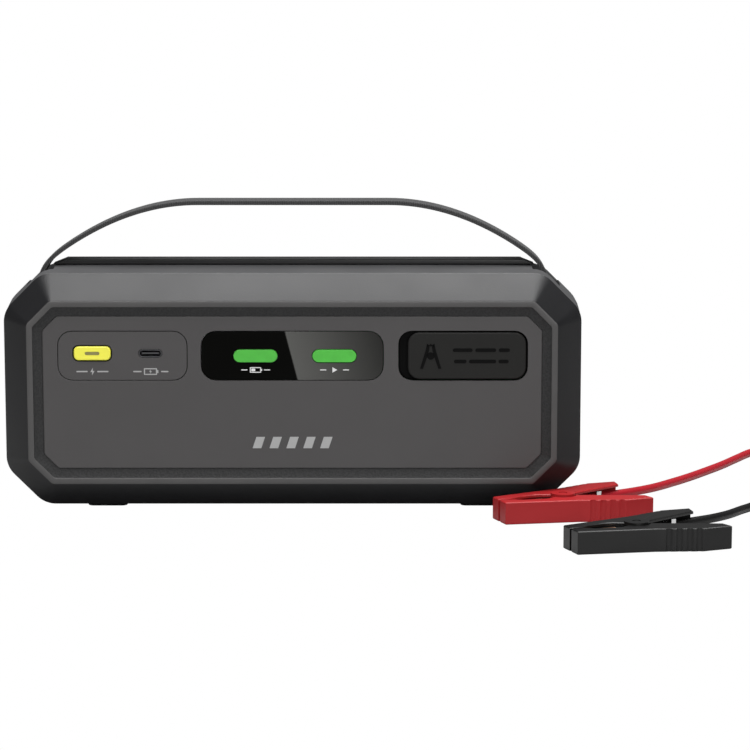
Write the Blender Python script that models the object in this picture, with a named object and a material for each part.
"""A jump starter pack: a flat battery pack with a carry strap, and its two clamps on their leads.

Metres, +Z up. The pack faces -Y and stands on four rubber feet, and the clamps lie flat in front of it.
Every length below is written in millimetres and turned into metres by MM.
"""

import math

import bmesh
import bpy
from mathutils import Matrix, Vector

MM = 0.001
GAP = 0.3

# The pack's own frame: X across, Y front to back, Z up, with its centre over the point PACK_AT.
PACK_AT = (-27.079, 39.705)
PACK_W = 240.0
PACK_BOTTOM = 2.0
PACK_TOP = 99.3
HALF_W = PACK_W / 2
CORNER_LEG = 15.8
CORNER_R = 11.0
RIM_Y = 18.5
RING_Y = 29.0
RING_INSET = 10.6
RING_W = 2.2
BAND_INSET = 16.5
PANEL_Y = 27.8
WALL = 2.5
ARC_STEPS = 4

# The raised strip along the top: the shoulders rise to it from both rims.
SHOULDER_Y = 4.5
SHOULDER_RISE = 1.8
DECK_H = 2.3
DECK_HALF_TOP = 95.5
DECK_HALF_BASE = 101.0

# Pieces in the front panel, each as (x, z, width, height, corner radius).
PANEL_T = 1.8
PORT_PLATE = (-70.1, 66.1, 53.1, 20.2, 5.7)
DISPLAY = (0.0, 66.1, 75.0, 20.2, 6.0)
COVER_RECESS = (70.6, 66.1, 52.9, 20.2, 5.2)
COVER = (72.2, 66.1, 48.8, 19.4, 4.8)
BUTTON = (-82.6, 67.1, 15.2, 5.7, 1.9)
USB = (-58.6, 67.1, 9.6, 3.2, 1.59)
LIGHT_BARS = {"charging_light_bar": -15.2, "start_light_bar": 17.4}
LIGHT_BAR = (66.0, 18.1, 5.2, 2.59)
BUTTON_TRAVEL = 0.8
SOCKET = (71.7, 66.1, 26.0, 13.0, 3.0)
SOCKET_MOUTH = (71.7, 66.1, 21.0, 8.6, 2.0)

# The strap's arch: flat in the middle, then falling by STRAP_DROP over STRAP_REACH.
STRAP_TOP = 128.5
STRAP_W = 14.0
STRAP_T = 1.5
STRAP_FLAT = 40.0
STRAP_REACH = 67.4
STRAP_SAG = 27.0
STRAP_TURN = 6.0
# Each end of the strap hangs on a stud along X, in a pocket (from x, to x, half its width in y).
STRAP_TAB_X = 107.3
STUD_X = (103.2, 110.9)
STUD_Z = 86.0
STUD_R = 1.3
POCKET = (100.0, 111.5, 10.8)

FOOT = (16.6, 8.0)
FOOT_AT = (78.5, 9.5)

CLAMP_H = 9.3
CLAMP_PLATE = 1.2
CLAMP_YAW = math.radians(21.0)
JAW_LEN = 28.6
DISC_R = 5.1
BOSS_H = 0.9
EAR_R = 4.6
HANDLE_END = 33.0
HANDLE_ANGLE = 21.8
JAW_LINE = 0.8
ARM_EDGE = [(32.6, 18.2), (20.0, 18.6), (2.0, 12.6), (-JAW_LEN, 6.6)]
CLAMPS = {"red": (111.8, -36.0), "black": (137.2, -92.0)}

# Each lead runs from inside its clamp's fixed arm, over the floor, to the shared plug.
LEAD_D = 3.6
LEAD_SIDES = 2
LEAD_Z = 4.65
FLOOR_Z = 1.85
LEAD_IN_ARM = [(9.0, 8.0), (20.0, 11.2), (HANDLE_END, 14.3)]
LEAD_ROUTES = {
    "red": [
        (145.5, -4.0, 4.45), (154.0, 6.0, 4.0), (163.0, 20.0, 3.4), (172.0, 35.0, 2.8),
        (181.0, 51.0, 2.3), (190.0, 67.0, 1.95), (198.5, 83.0, FLOOR_Z), (207.0, 98.0, FLOOR_Z),
        (217.0, 108.5, FLOOR_Z), (228.5, 109.5, FLOOR_Z), (237.5, 102.0, FLOOR_Z), (241.5, 89.0, FLOOR_Z),
        (242.0, 74.0, FLOOR_Z), (242.0, 57.0, FLOOR_Z), (242.0, 41.0, FLOOR_Z), (242.0, 30.5, 3.2),
    ],
    "black": [
        (171.0, -60.0, 4.45), (178.5, -50.5, 4.0), (185.0, -39.0, 3.4), (192.0, -27.0, 2.8),
        (198.5, -12.0, 2.3), (202.5, 5.0, 1.95), (204.0, 23.0, FLOOR_Z), (204.5, 42.0, FLOOR_Z),
        (205.5, 58.0, FLOOR_Z), (209.5, 71.0, FLOOR_Z), (218.5, 78.5, FLOOR_Z), (228.5, 76.5, FLOOR_Z),
        (234.5, 67.5, FLOOR_Z), (236.0, 55.0, FLOOR_Z), (236.0, 41.0, FLOOR_Z), (236.0, 30.5, 3.2),
    ],
}
PLUG_AT = (239.0, 22.0, 4.7)
PLUG_LEN = 22.0
PLUG_PITCH = 6.0


# Materials: name, colour, roughness, metallic.
FINISHES = {
    "shell_plastic": ((0.045, 0.045, 0.048), 0.55, 0.0),
    "panel_plastic": ((0.08, 0.078, 0.078), 0.5, 0.0),
    "deck_plastic": ((0.03, 0.03, 0.032), 0.25, 0.0),
    "rubber": ((0.025, 0.025, 0.025), 0.7, 0.0),
    "webbing": ((0.05, 0.05, 0.052), 0.85, 0.0),
    "yellow_plastic": ((0.85, 0.78, 0.08), 0.35, 0.0),
    "green_light": ((0.1, 0.5, 0.07), 0.3, 0.0),
    "display_gloss": ((0.006, 0.006, 0.005), 0.08, 0.0),
    "steel": ((0.6, 0.6, 0.6), 0.3, 1.0),
    "copper": ((0.8, 0.42, 0.25), 0.3, 1.0),
    "circuit_board": ((0.02, 0.12, 0.05), 0.5, 0.0),
    "cell_foil": ((0.7, 0.7, 0.72), 0.35, 0.8),
    "red_plastic": ((0.55, 0.04, 0.045), 0.4, 0.0),
    "black_plastic": ((0.03, 0.03, 0.03), 0.4, 0.0),
    "red_cable": ((0.5, 0.015, 0.025), 0.45, 0.0),
    "black_cable": ((0.015, 0.015, 0.015), 0.45, 0.0),
}


def clear_scene():
    for old in list(bpy.data.objects):
        bpy.data.objects.remove(old, do_unlink=True)


def make_material(name):
    colour, roughness, metallic = FINISHES[name]
    material = bpy.data.materials.new(name)
    material.use_nodes = True
    shader = material.node_tree.nodes["Principled BSDF"]
    shader.inputs["Base Color"].default_value = (*colour, 1.0)
    shader.inputs["Roughness"].default_value = roughness
    shader.inputs["Metallic"].default_value = metallic
    return material


def empty(name, at, parent=None, yaw=0.0):
    """A holder that places and turns the pieces under it; `at` is in millimetres."""
    holder = bpy.data.objects.new(name, None)
    bpy.context.scene.collection.objects.link(holder)
    holder.parent = parent
    holder.location = Vector(at) * MM
    holder.rotation_euler[2] = yaw
    return holder


def add_object(name, mesh, finish, parent):
    piece = bpy.data.objects.new(name, mesh)
    bpy.context.scene.collection.objects.link(piece)
    piece.parent = parent
    if finish:
        mesh.materials.append(MATERIALS[finish])
    return piece


def solid(name, rings, finish, parent, closed=False, origin=(0.0, 0.0, 0.0)):
    """Joins rings of points, all the same length, into one closed body; `closed` also joins the last to the first."""
    bm = bmesh.new()
    levels = [[bm.verts.new((Vector(p) - Vector(origin)) * MM) for p in ring] for ring in rings]
    pairs = list(zip(levels, levels[1:]))
    if closed:
        pairs.append((levels[-1], levels[0]))
    for low, high in pairs:
        for i in range(len(low)):
            j = (i + 1) % len(low)
            bm.faces.new((low[i], low[j], high[j], high[i]))
    if not closed:
        bm.faces.new(levels[0][::-1])
        bm.faces.new(levels[-1])
    bmesh.ops.recalc_face_normals(bm, faces=bm.faces)
    mesh = bpy.data.meshes.new(name)
    bm.to_mesh(mesh)
    bm.free()
    piece = add_object(name, mesh, finish, parent)
    piece.location = Vector(origin) * MM
    return piece


def cutter(name, rings, parent, closed=False):
    tool = solid(name, rings, None, parent, closed)
    tool.hide_render = True
    tool.display_type = "WIRE"
    return tool


def boolean(piece, tool, operation="DIFFERENCE"):
    step = piece.modifiers.new(operation.title(), "BOOLEAN")
    step.operation = operation
    step.object = tool


def smooth(piece, angle=35.0):
    piece.data.shade_smooth()
    piece.data.set_sharp_from_angle(angle=math.radians(angle))


def arc(centre, radius, start, end, steps):
    """Points round a centre, from one angle to another, in degrees."""
    angles = [math.radians(start + (end - start) * i / steps) for i in range(steps + 1)]
    return [(centre[0] + radius * math.cos(a), centre[1] + radius * math.sin(a)) for a in angles]


def rounded(corners, radius, steps):
    """A closed outline with every corner of the polygon turned into an arc."""
    points = []
    for i, corner in enumerate(corners):
        here = Vector(corner)
        before = (Vector(corners[i - 1]) - here).normalized()
        after = (Vector(corners[(i + 1) % len(corners)]) - here).normalized()
        half = before.angle(after) / 2
        centre = here + (before + after).normalized() * (radius / math.sin(half))
        first = here + before * (radius / math.tan(half)) - centre
        turn = math.pi - 2 * half
        if before.x * after.y - before.y * after.x > 0:
            turn = -turn
        for k in range(steps + 1):
            spoke = Matrix.Rotation(turn * k / steps, 2) @ first
            points.append((centre.x + spoke.x, centre.y + spoke.y))
    return points


def octagon(inset, lift=0.0):
    """The pack's outline in X and Z, this far inside the outermost one, with its top raised by `lift`."""
    x = HALF_W - inset
    low, high = PACK_BOTTOM + inset, PACK_TOP - inset + lift
    leg = CORNER_LEG - inset * (2 - math.sqrt(2))
    corners = [
        (x - leg, low), (x, low + leg), (x, high - leg), (x - leg, high),
        (leg - x, high), (-x, high - leg), (-x, low + leg), (leg - x, low),
    ]
    return rounded(corners, max(2.2, CORNER_R - 0.8 * inset), ARC_STEPS)


def rounded_box(x, z, width, height, radius, steps=5, grow=0.0):
    """A rounded rectangle in X and Z, grown by `grow` on every side."""
    a, b = width / 2 + grow, height / 2 + grow
    corners = [(x + a, z - b), (x + a, z + b), (x - a, z + b), (x - a, z - b)]
    return rounded(corners, min(radius + grow, a - 0.01, b - 0.01), steps)


def at_y(outline, y):
    return [(x, y, z) for x, z in outline]


def at_z(outline, z):
    return [(x, y, z) for x, y in outline]


def plate(name, outline, y0, y1, finish, parent, chamfer=0.0, small=None):
    """A flat piece between two Y planes. With a chamfer, `small` is the outline of its front face."""
    rings = [at_y(outline, y1), at_y(outline, y0)]
    if small:
        rings = [at_y(outline, y1), at_y(outline, y0 + chamfer), at_y(small, y0)]
    return solid(name, rings, finish, parent)


def block(name, low, high, finish, parent):
    outline = [(low[0], low[1]), (high[0], low[1]), (high[0], high[1]), (low[0], high[1])]
    return solid(name, [at_z(outline, low[2]), at_z(outline, high[2])], finish, parent)


def cut_block(name, low, high, parent):
    tool = block(name, low, high, None, parent)
    tool.hide_render = True
    tool.display_type = "WIRE"
    return tool


def disc(name, centre, radius, z0, z1, finish, parent, sides=24, origin=(0.0, 0.0, 0.0)):
    outline = arc(centre, radius, 0, 360 * (sides - 1) / sides, sides - 1)
    return solid(name, [at_z(outline, z0), at_z(outline, z1)], finish, parent, origin=origin)


def tube(name, points, diameter, finish, parent):
    """A round cord along a polyline of points in millimetres, with closed ends."""
    curve = bpy.data.curves.new(name, "CURVE")
    curve.dimensions = "3D"
    curve.bevel_depth = diameter / 2 * MM
    curve.bevel_resolution = LEAD_SIDES
    curve.use_fill_caps = True
    spline = curve.splines.new("POLY")
    spline.points.add(len(points) - 1)
    for point, place in zip(spline.points, points):
        point.co = (*(Vector(place) * MM), 1.0)
    return add_object(name, curve, finish, parent)


def smooth_route(route, spacing):
    """Points every `spacing` along a Catmull-Rom curve through the route's points."""
    places = [Vector(p) for p in route]
    places = [2 * places[0] - places[1], *places, 2 * places[-1] - places[-2]]
    dense = []
    for a, b, c, d in zip(places, places[1:], places[2:], places[3:]):
        for k in range(20):
            t = k / 20
            dense.append(0.5 * (2 * b + (c - a) * t + (2 * a - 5 * b + 4 * c - d) * t**2
                                + (3 * b - a - 3 * c + d) * t**3))
    dense.append(places[-2])
    lengths = [0.0]
    for before, after in zip(dense, dense[1:]):
        lengths.append(lengths[-1] + (after - before).length)
    count = max(2, round(lengths[-1] / spacing))
    picked = []
    for k in range(count + 1):
        goal = lengths[-1] * k / count
        i = min(range(1, len(dense)), key=lambda n: (lengths[n] < goal, lengths[n]))
        share = (goal - lengths[i - 1]) / (lengths[i] - lengths[i - 1])
        picked.append(dense[i - 1].lerp(dense[i], min(1.0, max(0.0, share))))
    return picked


def swept(section, lift=0.0):
    """Rings for a shell round the pack's outline, from a section of (inset, y) corners."""
    return [at_y(octagon(inset, lift), y) for inset, y in section]


def make_shells(pack):
    front = [
        (0.0, -RIM_Y), (RING_INSET - 0.35, -RING_Y + 0.35), (RING_INSET, -RING_Y),
        (RING_INSET + RING_W, -RING_Y), (RING_INSET + RING_W + 0.3, -RING_Y + 0.5),
        (BAND_INSET, -PANEL_Y - 0.1), (BAND_INSET, -25.7), (19.0, -25.7), (19.0, -24.2), (12.4, -24.2),
        (3.5, -RIM_Y),
    ]
    smooth(solid("front_frame", swept(front), "shell_plastic", pack, closed=True), 20)
    edge = RIM_Y - GAP
    outer = [(-edge, 0.0), (-SHOULDER_Y, SHOULDER_RISE), (SHOULDER_Y, SHOULDER_RISE), (edge, 0.0)]
    rings = [at_y(octagon(0.0, lift), y) for y, lift in outer]
    rings += [at_y(octagon(WALL), edge), at_y(octagon(WALL), -edge)]
    shell = solid("mid_shell", rings, "shell_plastic", pack, closed=True)
    smooth(shell, 20)
    for side in (-1, 1):
        x0, x1 = sorted((side * POCKET[0], side * POCKET[1]))
        tool = cut_block("strap_pocket_cut", (x0, -POCKET[2], 84.0), (x1, POCKET[2], 106.0), pack)
        boolean(shell, tool)
    back = [(12.0, 26.5), (3.5, RIM_Y), (0.0, RIM_Y), (RING_INSET, RING_Y)]
    cover = solid("rear_cover", swept(back), "shell_plastic", pack)
    smooth(cover, 20)
    make_screws(cover, pack)


def make_screws(cover, pack):
    """Four countersunk screws through the rear cover's flat back into the shell."""
    for number, (x, z) in enumerate(((-96, 24), (96, 24), (-96, 77), (96, 77)), 1):
        profile = [(0.6, 28.8), (3.0, 28.8), (3.0, 27.9), (1.4, 27.0), (1.4, 19.0)]
        rings = [[(x + r * c, y, z + r * s) for c, s in arc((0, 0), 1, 0, 345, 23)] for r, y in profile]
        socket = [[(x + 0.6 * c, 28.0, z + 0.6 * s) for c, s in arc((0, 0), 1, 0, 345, 23)]]
        smooth(solid(f"rear_screw_{number}", socket + rings, "steel", pack), 30)
        hole = [(3.4, 29.5), (3.4, 27.6), (1.8, 26.6), (1.8, 17.0)]
        rings = [[(x + r * c, y, z + r * s) for c, s in arc((0, 0), 1, 0, 345, 23)] for r, y in hole]
        boolean(cover, cutter("screw_hole_cut", rings, pack))


def make_deck(pack):
    base = PACK_TOP + SHOULDER_RISE + GAP
    levels = [
        (DECK_HALF_BASE, SHOULDER_Y, base), (DECK_HALF_TOP + 0.6, SHOULDER_Y, base + DECK_H - 0.4),
        (DECK_HALF_TOP, SHOULDER_Y - 0.4, base + DECK_H),
    ]
    rings = [[(x, -y, z), (x, y, z), (-x, y, z), (-x, -y, z)] for x, y, z in levels]
    solid("top_deck", rings, "deck_plastic", pack)


def make_feet(pack):
    place = 1
    for y in (-FOOT_AT[1], FOOT_AT[1]):
        for x in (-FOOT_AT[0], FOOT_AT[0]):
            a, b = FOOT[0] / 2, FOOT[1] / 2
            foot = rounded([(x - a, y - b), (x + a, y - b), (x + a, y + b), (x - a, y + b)], 2.4, 4)
            rings = [at_z(foot, 0.0), at_z(foot, PACK_BOTTOM - GAP)]
            smooth(solid(f"foot_{place}", rings, "rubber", pack))
            place += 1


def strap_height(x):
    """The height of the strap's outer face at this distance from the middle."""
    share = max(0.0, (abs(x) - STRAP_FLAT) / STRAP_REACH)
    return STRAP_TOP - STRAP_SAG * share**2 - STRAP_TURN * share**30


def strap_line():
    """The strap's centre line in X and Z, from one pin round to the other."""
    right = [(STRAP_FLAT * i / 3, STRAP_TOP - STRAP_T / 2) for i in range(1, 3)]
    for i in range(17):
        x = STRAP_FLAT + STRAP_REACH * (1 - (1 - i / 16) ** 1.7)
        right.append((x - STRAP_T / 2 * min(1.0, i / 16), strap_height(x) - STRAP_T / 2))
    right += [(STRAP_TAB_X, STUD_Z + 6.0), (STRAP_TAB_X, STUD_Z)]
    return [(-x, z) for x, z in right[::-1]] + [(0.0, STRAP_TOP - STRAP_T / 2)] + right


def ribbon(line, thickness):
    """The outline of a band of this thickness along a line in X and Z."""
    upper, lower = [], []
    for i, (x, z) in enumerate(line):
        before, after = line[max(0, i - 1)], line[min(len(line) - 1, i + 1)]
        run, rise = after[0] - before[0], after[1] - before[1]
        size = math.hypot(run, rise)
        upper.append((x - rise / size * thickness / 2, z + run / size * thickness / 2))
        lower.append((x + rise / size * thickness / 2, z - run / size * thickness / 2))
    return upper + lower[::-1]


def along_x(name, centre, radius, x0, x1, finish, pack, sides=24):
    """A rod along X, round this point in Y and Z."""
    outline = arc(centre, radius, 0, 360 * (sides - 1) / sides, sides - 1)
    return solid(name, [[(x, y, z) for y, z in outline] for x in sorted((x0, x1))], finish, pack)


def hidden(tool):
    tool.hide_render = True
    tool.display_type = "WIRE"
    return tool


def make_strap(pack):
    half = STRAP_W / 2
    outline = ribbon(strap_line(), STRAP_T)
    strap = solid("carry_strap", [at_y(outline, -half), at_y(outline, half)], "webbing", pack)
    for side, word in ((-1, "left"), (1, "right")):
        face = side * (STRAP_TAB_X - STRAP_T / 2), side * (STRAP_TAB_X + STRAP_T / 2)
        centre = (0.0, STUD_Z)
        boolean(strap, hidden(along_x("tab_join", centre, half, *face, None, pack)), "UNION")
        through = side * (STRAP_TAB_X - 2), side * (STRAP_TAB_X + 2)
        boolean(strap, hidden(along_x("tab_hole_cut", centre, STUD_R + GAP, *through, None, pack)))
        along_x(f"strap_pin_{word}", centre, STUD_R, side * STUD_X[0], side * STUD_X[1], "steel", pack)
        make_bracket(word, side, pack)


def make_bracket(word, side, pack):
    """A trough under the strap's pocket whose two cheeks hold the stud."""
    profile = [(101.0, 92.0), (101.0, 76.5), (111.2, 76.5), (111.2, 92.0), (109.1, 94.1), (105.0, 92.0)]
    outline = [(side * x, z) for x, z in profile]
    half = POCKET[2] - 0.15
    bracket = solid(f"strap_bracket_{word}", [at_y(outline, -half), at_y(outline, half)], "shell_plastic", pack)
    x0, x1 = sorted((side * 105.6, side * 109.0))
    boolean(bracket, cut_block("bracket_gap_cut", (x0, -half - 1, 78.2), (x1, half + 1, 97.0), pack))
    hole = along_x("stud_hole_cut", (0.0, STUD_Z), STUD_R + GAP, side * 99.0, side * 113.0, None, pack)
    boolean(bracket, hidden(hole))


def front_cut(piece, box, grow, y0, y1, pack):
    outline = rounded_box(*box, grow=grow)
    boolean(piece, cutter("front_cut", [at_y(outline, y1), at_y(outline, y0)], pack))


def make_panel(pack):
    back = -PANEL_Y + PANEL_T
    inset = BAND_INSET + GAP
    panel = plate("front_panel", octagon(inset), -PANEL_Y, back, "panel_plastic", pack, 0.3, octagon(inset + 0.3))
    smooth(panel, 20)
    for box in (PORT_PLATE, DISPLAY, COVER_RECESS):
        front_cut(panel, box, GAP, -PANEL_Y - 2, back + 2, pack)


def make_ports(pack):
    face = -PANEL_Y + 0.1
    port_plate = plate("port_plate", rounded_box(*PORT_PLATE), face, face + PANEL_T, "panel_plastic", pack)
    front_cut(port_plate, BUTTON, 0.6, face - 2, face + 4, pack)
    front_cut(port_plate, USB, 0.2, face - 2, face + 4, pack)
    front = -PANEL_Y - 0.3
    pivot = (BUTTON[0], front, BUTTON[1])
    outline, small = rounded_box(*BUTTON), rounded_box(*BUTTON, grow=-0.35)
    rings = [at_y(outline, front + 3.4), at_y(outline, front + 0.35), at_y(small, front)]
    button = solid("boost_button", rings, "yellow_plastic", pack, origin=pivot)
    front_cut(button, (BUTTON[0], BUTTON[1], 6.0, 1.3, 0.6), 0.0, front - 1, front + 0.5, pack)
    x, z = BUTTON[:2]
    y = front + 3.4 + BUTTON_TRAVEL + GAP
    board = block("port_board", (-100.0, y + 4, 58.0), (-42.0, y + 5.6, 76.0), "circuit_board", pack)
    boolean(board, cut_block("switch_join", (x - 3, y + 1, z - 3), (x + 3, y + 4.5, z + 3), pack), "UNION")
    boolean(board, hidden(across_y("plunger_join", (x, z), 1.5, y, y + 2, pack)), "UNION")
    x, z = USB[:2]
    shell = plate("usb_c_port", rounded_box(*USB), face, face + 7.0, "steel", pack)
    front_cut(shell, USB, -0.4, face - 1, face + 6.2, pack)
    tongue = cut_block("tongue_join", (x - 3.5, face + 0.6, z - 0.35), (x + 3.5, face + 6.6, z + 0.35), pack)
    boolean(shell, tongue, "UNION")


def across_y(name, centre, radius, y0, y1, pack, sides=20, finish=None):
    outline = arc(centre, radius, 0, 360 * (sides - 1) / sides, sides - 1)
    return solid(name, [at_y(outline, y0), at_y(outline, y1)], finish, pack)


def make_display(pack):
    face = -PANEL_Y
    lens = plate("display_lens", rounded_box(*DISPLAY), face, face + 1.4, "display_gloss", pack)
    z, width, height, radius = LIGHT_BAR
    for name, x in LIGHT_BARS.items():
        bar = (x, z, width, height, radius)
        front_cut(lens, bar, GAP, face - 1, face + 3, pack)
        smooth(plate(name, rounded_box(*bar), face - 0.1, face + 2.2, "green_light", pack))
    block("display_board", (-36.0, face + 2.6, 57.0), (36.0, face + 4.2, 75.0), "circuit_board", pack)


def make_socket(pack):
    floor = -PANEL_Y + 2.1
    bezel = plate("socket_bezel", rounded_box(*COVER_RECESS), floor, floor + 1.6, "shell_plastic", pack)
    front_cut(bezel, SOCKET, GAP, floor - 1, floor + 3, pack)
    housing = plate("output_socket", rounded_box(*SOCKET), floor + 0.2, floor + 15.0, "black_plastic", pack)
    front_cut(housing, SOCKET_MOUTH, 0.0, floor - 1, floor + 12.6, pack)
    x, z = SOCKET[:2]
    for word, side in (("positive", -1), ("negative", 1)):
        pin = (x + side * 5.6, z)
        hole = hidden(across_y("contact_hole_cut", pin, 2.6 + GAP, floor + 11, floor + 17, pack))
        boolean(housing, hole)
        smooth(across_y(f"socket_contact_{word}", pin, 2.6, floor + 5.2, floor + 18.0, pack, 16, "copper"))


def make_cover(pack):
    """The rubber flap over the socket. Its hinge line is the front right edge, at the object's origin."""
    front = -PANEL_Y - 0.4
    x, z, width, height, radius = COVER
    hinge = (x + width / 2, front, z)
    outline = rounded_box(*COVER)
    rings = [at_y(outline, front + 1.7), at_y(outline, front + 0.4), at_y(rounded_box(*COVER, grow=-0.4), front)]
    flap = solid("socket_cover", rings, "rubber", pack, origin=hinge)
    smooth(flap)


def make_battery(pack):
    tray = block("cell_tray", (-103.0, -17.5, 6.0), (3.0, 17.5, 26.0), "black_plastic", pack)
    boolean(tray, cut_block("tray_cut", (-101.0, -16.4, 8.0), (1.0, 16.4, 30.0), pack))
    pitch = 8.1
    for number in range(4):
        y = -16.1 + number * pitch
        block(f"battery_cell_{number + 1}", (-100.5, y, 8.4), (0.5, y + pitch - GAP, 78.0), "cell_foil", pack)
    block("cell_link", (-92.0, -6.0, 78.3), (-80.0, 6.0, 79.1), "copper", pack)


def make_electronics(pack):
    block("main_board", (6.0, 6.0, 12.0), (98.0, 7.6, 84.0), "circuit_board", pack)
    block("power_relay", (14.0, -9.0, 20.0), (34.0, 5.7, 42.0), "black_plastic", pack)
    x, z = SOCKET[:2]
    start = -PANEL_Y + 20.8
    for word, side, end in (("positive", -1, (-60.0, -3.0, 79.9)), ("negative", 1, (-40.0, -12.0, 79.9))):
        px = x + side * 5.6
        route = [(px, start, z), (px, start + 4, z), (px - 4, start + 9, z + 5), (px - 14, start + 9, z + 15)]
        route += [(20.0, end[1], 88.0), (end[0] + 8, end[1], 87.0), end]
        tube(f"battery_lead_{word}", smooth_route(route, 8.0), 3.2, f"{LEAD_WORDS[word]}_cable", pack)


LEAD_WORDS = {"positive": "red", "negative": "black"}


def shrunk(outline, distance):
    """The outline of a prism, moved in by this distance along the mean of each corner's two edge normals."""
    points = []
    for i, (x, y) in enumerate(outline):
        before, after = Vector(outline[i - 1]), Vector(outline[(i + 1) % len(outline)])
        here = Vector((x, y))
        first, second = (here - before).normalized(), (after - here).normalized()
        normal = Vector((-(first.y + second.y), first.x + second.x)).normalized()
        reach = distance / max(0.5, normal.dot(Vector((-first.y, first.x))))
        points.append(tuple(here + normal * reach))
    return points


def arm_outline(side, radius):
    """One arm in plan, anticlockwise: jaw to the left, handle to the right, and a round ear on the pivot."""
    turn = math.radians(HANDLE_ANGLE)
    inner_end = (31.5, 31.5 * math.tan(turn))
    ear = arc((0, 0), radius, 152, 360 + HANDLE_ANGLE, 20)
    jaw = [(-JAW_LEN, JAW_LINE), (-23.0, JAW_LINE + 0.2), (-19.5, 3.2), (-12.0, 4.5), (-8.5, 4.5)]
    outline = jaw + ear + [inner_end] + ARM_EDGE
    if side < 0:
        outline = [(s, -q) for s, q in outline[::-1]]
    return outline


def flipped(points, side):
    return [(s, side * q) for s, q in points]


def z_prism(outline, z0, z1):
    return [at_z(outline, z0), at_z(outline, z1)]


def cut_z(piece, outline, z0, z1, holder):
    boolean(piece, cutter("plan_cut", z_prism(outline, z0, z1), holder))


def cut_scallops(arm, side, holder):
    """Finger grooves down the handle's outer face."""
    (x1, y1), (x0, y0) = ARM_EDGE[1], ARM_EDGE[2]
    length = math.hypot(x1 - x0, y1 - y0)
    for distance in (5.4, 9.5, 13.6, 17.4):
        x = x0 + (x1 - x0) * distance / length - 1.15 * (y1 - y0) / length
        y = y0 + (y1 - y0) * distance / length + 1.15 * (x1 - x0) / length
        cut_z(arm, flipped(arc((x, y), 1.75, 0, 337.5, 15), side), -1.0, CLAMP_H + 1.0, holder)


def make_arm(colour, side, holder):
    """A clamp arm: a channel of two plates and an outer wall, open towards the other arm."""
    fixed = side > 0
    word = "fixed" if fixed else "moving"
    outline = arm_outline(side, DISC_R if fixed else EAR_R)
    small = shrunk(outline, 0.35)
    rings = [at_z(small, 0.0), at_z(outline, 0.35), at_z(outline, CLAMP_H - 0.35), at_z(small, CLAMP_H)]
    arm = solid(f"{colour}_clamp_{word}_arm", rings, f"{colour}_plastic", holder)
    plates = (CLAMP_PLATE, CLAMP_H - CLAMP_PLATE)
    if fixed:
        boss = z_prism(arc((0, 0), DISC_R - 0.05, 0, 348.75, 31), CLAMP_H - 0.9, CLAMP_H + BOSS_H)
        boolean(arm, cutter("boss_join", boss, holder), "UNION")
    cut_z(arm, arc((0, 0), 1.7, 5, 350, 23), -1.0, CLAMP_H + 2.0, holder)
    if fixed:
        pocket = [(-26.8, -8), (38, -8), (38, 16.3), (20, 17.0), (2, 11.0), (-26.8, 4.9)]
        cut_z(arm, pocket, *plates, holder)
    else:
        jaw = [(-26.8, -8), (-6.5, -8), (-6.5, 9.1), (-26.8, 4.9)]
        handle = [(6.8, -8), (38, -8), (38, 0), (30.9, 10), (30.9, 16.6), (20, 17.0), (6.8, 12.6)]
        for pocket in (jaw, handle):
            cut_z(arm, flipped(pocket, side), *plates, holder)
        clear = arc((0, 0), DISC_R + 0.45, 0, 348.75, 31)
        cut_z(arm, clear, -1.0, CLAMP_PLATE + GAP, holder)
        cut_z(arm, clear, CLAMP_H - CLAMP_PLATE - GAP, CLAMP_H + 1, holder)
        spring_room = arc((0, 0), EAR_R + 0.6, 90, 270, 16) + [(0.4, -9), (10.2, -9), (10.2, 6.2), (0.4, 6.2)]
        cut_z(arm, spring_room, 3.0, 6.3, holder)
    cut_scallops(arm, side, holder)
    smooth(arm, 30)


def make_jaw(colour, side, holder):
    """A bent copper strip with teeth along the tip and a bowed part behind them."""
    teeth = []
    start, pitch, count = -26.4, 1.6, 4
    for number in range(count):
        teeth += [(start + number * pitch, 0.15), (start + (number + 0.5) * pitch, 0.75)]
    inner = teeth + [(start + count * pitch, 0.15), (-18.2, 1.5), (-8.0, 2.1)]
    outer = [(-8.0, 3.3), (-18.6, 2.7), (-20.4, 1.6), (-26.4, 1.6)]
    outline = flipped(inner + outer, side)
    word = "fixed" if side > 0 else "moving"
    solid(f"{colour}_clamp_{word}_jaw", z_prism(outline, 1.6, 7.7), "copper", holder)


def make_spring(colour, holder):
    """A torsion spring wound round the rivet, with one leg along each handle."""
    turns, radius, wire = 2, 2.9, 0.8
    low, high = 3.7, 5.6
    steps = 14 * turns + 6
    start = math.radians(70)
    sweep = turns * 2 * math.pi + math.radians(40)
    coil = []
    for k in range(steps + 1):
        angle = start - sweep * k / steps
        coil.append((radius * math.cos(angle), radius * math.sin(angle), low + (high - low) * k / steps))
    tube(f"{colour}_clamp_spring", [(14.0, 5.6, low), *coil, (12.0, -2.6, high)], wire, "steel", holder)


def make_crimp(colour, holder):
    """A steel saddle that holds the lead inside the fixed arm."""
    (x0, y0), (x1, y1) = LEAD_IN_ARM[1], LEAD_IN_ARM[2]
    angle = math.atan2(y1 - y0, x1 - x0)
    centre = Vector((x0, y0))
    along = Vector((math.cos(angle), math.sin(angle)))
    side = Vector((-along.y, along.x))

    def box(length, width):
        half = along * length / 2
        reach = side * width / 2
        return [tuple(centre + a) for a in (-half - reach, half - reach, half + reach, reach - half)]

    saddle = solid(f"{colour}_clamp_crimp", z_prism(box(2.4, 5.6), 1.6, 7.7), "steel", holder)
    cut_z(saddle, box(4.0, 4.4), 2.3, 7.0, holder)


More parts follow.
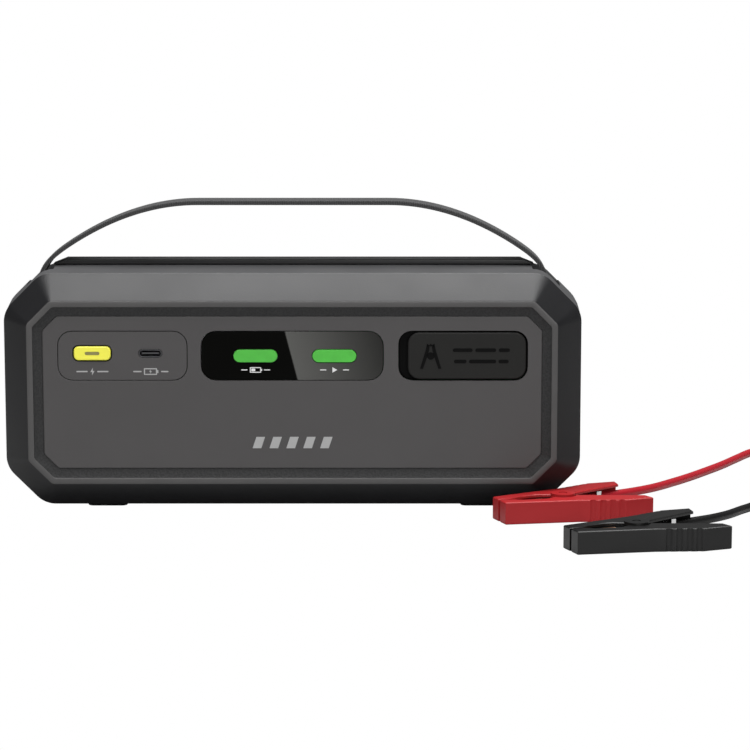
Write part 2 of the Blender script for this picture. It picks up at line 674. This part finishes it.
def make_clamp(colour, pack):
    holder = empty(f"{colour}_clamp", (*CLAMPS[colour], 0.0), pack, CLAMP_YAW)
    for side in (1, -1):
        make_arm(colour, side, holder)
        make_jaw(colour, side, holder)
    smooth(disc(f"{colour}_clamp_rivet", (0, 0), 1.4, 0.25, CLAMP_H + BOSS_H - 0.15, "steel", holder, 20), 30)
    make_spring(colour, holder)
    make_crimp(colour, holder)


def lead_route(colour):
    """The lead's own points, from inside the clamp's fixed arm to its end in the plug."""
    x, y = CLAMPS[colour]
    cos, sin = math.cos(CLAMP_YAW), math.sin(CLAMP_YAW)
    inside = [(x + s * cos - q * sin, y + s * sin + q * cos, LEAD_Z) for s, q in LEAD_IN_ARM]
    shift = PLUG_PITCH / 2 if colour == "red" else -PLUG_PITCH / 2
    end = (PLUG_AT[0] + shift, PLUG_AT[1] + GAP, PLUG_AT[2])
    return [*inside, *LEAD_ROUTES[colour], end]


def make_leads(pack):
    for colour in CLAMPS:
        tube(f"{colour}_lead", smooth_route(lead_route(colour), 8.0), LEAD_D, f"{colour}_cable", pack)


def make_plug(pack):
    """A two-pole plug: a waisted housing, with two bullet contacts standing out of its end."""
    x, y, z = PLUG_AT
    sections = [(7.0, 3.6, 0.0), (7.6, 4.3, -4.0), (7.6, 4.3, -9.0), (8.2, 4.6, -10.0), (8.2, 4.6, -PLUG_LEN)]
    rings = [at_y(rounded_box(x, z, 2 * a, 2 * b, 2.2), y + d) for a, b, d in sections]
    smooth(solid("plug_housing", rings, "black_plastic", pack), 30)
    for word, side in (("positive", 1), ("negative", -1)):
        pin = (x + side * 3.6, z)
        end = y - PLUG_LEN - GAP
        smooth(across_y(f"plug_contact_{word}", pin, 2.5, end - 9.0, end, pack, 16, "copper"))


def main():
    pack = empty("pack", (*PACK_AT, 0.0))
    make_shells(pack)
    make_deck(pack)
    make_feet(pack)
    make_strap(pack)
    make_panel(pack)
    make_ports(pack)
    make_display(pack)
    make_socket(pack)
    make_cover(pack)
    make_battery(pack)
    make_electronics(pack)
    for colour in CLAMPS:
        make_clamp(colour, pack)
    make_leads(pack)
    make_plug(pack)


clear_scene()
MATERIALS = {name: make_material(name) for name in FINISHES}
main()
